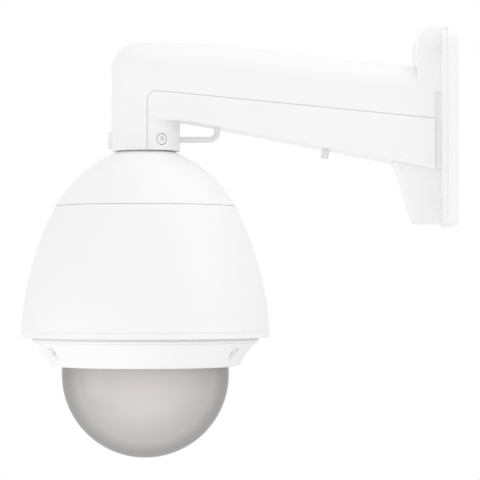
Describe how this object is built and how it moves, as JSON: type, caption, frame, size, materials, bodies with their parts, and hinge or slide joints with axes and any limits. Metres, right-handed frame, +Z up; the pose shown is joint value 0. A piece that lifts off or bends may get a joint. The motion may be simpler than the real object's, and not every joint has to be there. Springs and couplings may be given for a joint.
{
  "type": "dome camera with bubble and wall arm",
  "caption": "Pendant dome camera with a smoked bubble under a bell-shaped sun shield, hung from a hollow cast wall arm with a bolted wall plate; pans, tilts and opens from below.",
  "frame": {"origin": "centre of the wall plate's back face, on the wall", "axes": "+X into the wall, +Z up, Y across the arm; the head hangs at the arm's end on the -X side"},
  "size_m": [0.3944, 0.2262, 0.3886],
  "materials": {
    "cast_white": "fine powder coat over cast aluminium, warm white",
    "shell_white": "moulded ABS, soft satin, white",
    "bubble_smoke": "smoked polycarbonate, polished",
    "zinc_steel": "zinc plated screws",
    "loop_steel": "grey painted bent rod",
    "seal_rubber": "moulded seal",
    "cast_grey": "die cast, as cast",
    "sheet_steel": "zinc plated sheet",
    "black_plastic": "moulded, fine texture",
    "board_green": "solder mask on glass fibre board",
    "part_blue": "sleeved capacitors",
    "motor_steel": "drawn steel case",
    "brass": "turned",
    "belt_rubber": "moulded belt",
    "lens_glass": "coated front lens"
  },
  "bodies": {
    "arm_and_housing": {"wall_arm": "cast_white", "arm_cover": "cast_white", "cover_screw": "zinc_steel", "lanyard_loop": "loop_steel", "neck_lock_screws": "zinc_steel", "neck_tube": "cast_grey", "neck_screws": "zinc_steel", "top_cap": "shell_white", "sun_shield": "shell_white", "shield_screws": "zinc_steel", "housing_can": "cast_grey", "base_plate": "cast_grey", "base_pillars": "sheet_steel", "board_posts": "brass", "main_board": "board_green", "board_capacitors": "part_blue", "terminal_block": "board_green", "slip_ring": "black_plastic", "pan_bearing": "sheet_steel", "pan_motor": "motor_steel", "pan_belt": "belt_rubber", "fan_frame": "black_plastic", "heater": "cast_grey"},
    "lower_dome": {"can_gasket": "seal_rubber", "trim_ring": "shell_white", "captive_screws": "zinc_steel", "bubble_gasket": "seal_rubber", "dome_bubble": "bubble_smoke", "bubble_clamp": "sheet_steel", "clamp_screws": "zinc_steel"},
    "pan_head": {"turntable": "black_plastic", "tilt_yoke": "sheet_steel", "tilt_bushes": "brass", "tilt_motor": "motor_steel", "tilt_belt": "belt_rubber"},
    "tilt_head": {"tilt_axles": "sheet_steel", "tilt_pulley": "black_plastic", "tilt_cradle": "sheet_steel", "camera_block": "black_plastic", "lens_barrel": "black_plastic", "lens_glass": "lens_glass"},
    "pan_drive": {"pan_motor_shaft": "sheet_steel", "pan_motor_pulley": "brass"},
    "tilt_drive": {"tilt_motor_shaft": "sheet_steel", "tilt_motor_pulley": "brass"},
    "fan": {"fan_rotor": "black_plastic"}
  },
  "joints": [
    {"name": "pan", "type": "hinge", "parent": "arm_and_housing", "child": "pan_head", "pos_m": [-0.2813, 0, -0.109], "axis": [0, 0, 1], "continuous": true},
    {"name": "tilt", "type": "hinge", "parent": "pan_head", "child": "tilt_head", "pos_m": [-0.2813, 0, -0.22344], "axis": [0, -1, 0], "range_deg": [0, 90]},
    {"name": "pan_motor_turn", "type": "hinge", "parent": "arm_and_housing", "child": "pan_drive", "pos_m": [-0.2233, 0, -0.109], "axis": [0, 0, 1], "continuous": true},
    {"name": "tilt_motor_turn", "type": "hinge", "parent": "pan_head", "child": "tilt_drive", "pos_m": [-0.2813, 0.05, -0.16144], "axis": [0, -1, 0], "range_deg": [0, 290.5]},
    {"name": "fan_spin", "type": "hinge", "parent": "arm_and_housing", "child": "fan", "pos_m": [-0.3383, 0, -0.104], "axis": [0, 0, 1], "continuous": true},
    {"name": "lower_dome_release", "type": "slide", "parent": "arm_and_housing", "child": "lower_dome", "axis": [0, 0, -1], "range_m": [0, 0.115]}
  ],
  "couplings": [
    {"joint": "pan_motor_turn", "follows": "pan", "ratio": 4.8554},
    {"joint": "tilt_motor_turn", "follows": "tilt", "ratio": 3.2222}
  ]
}
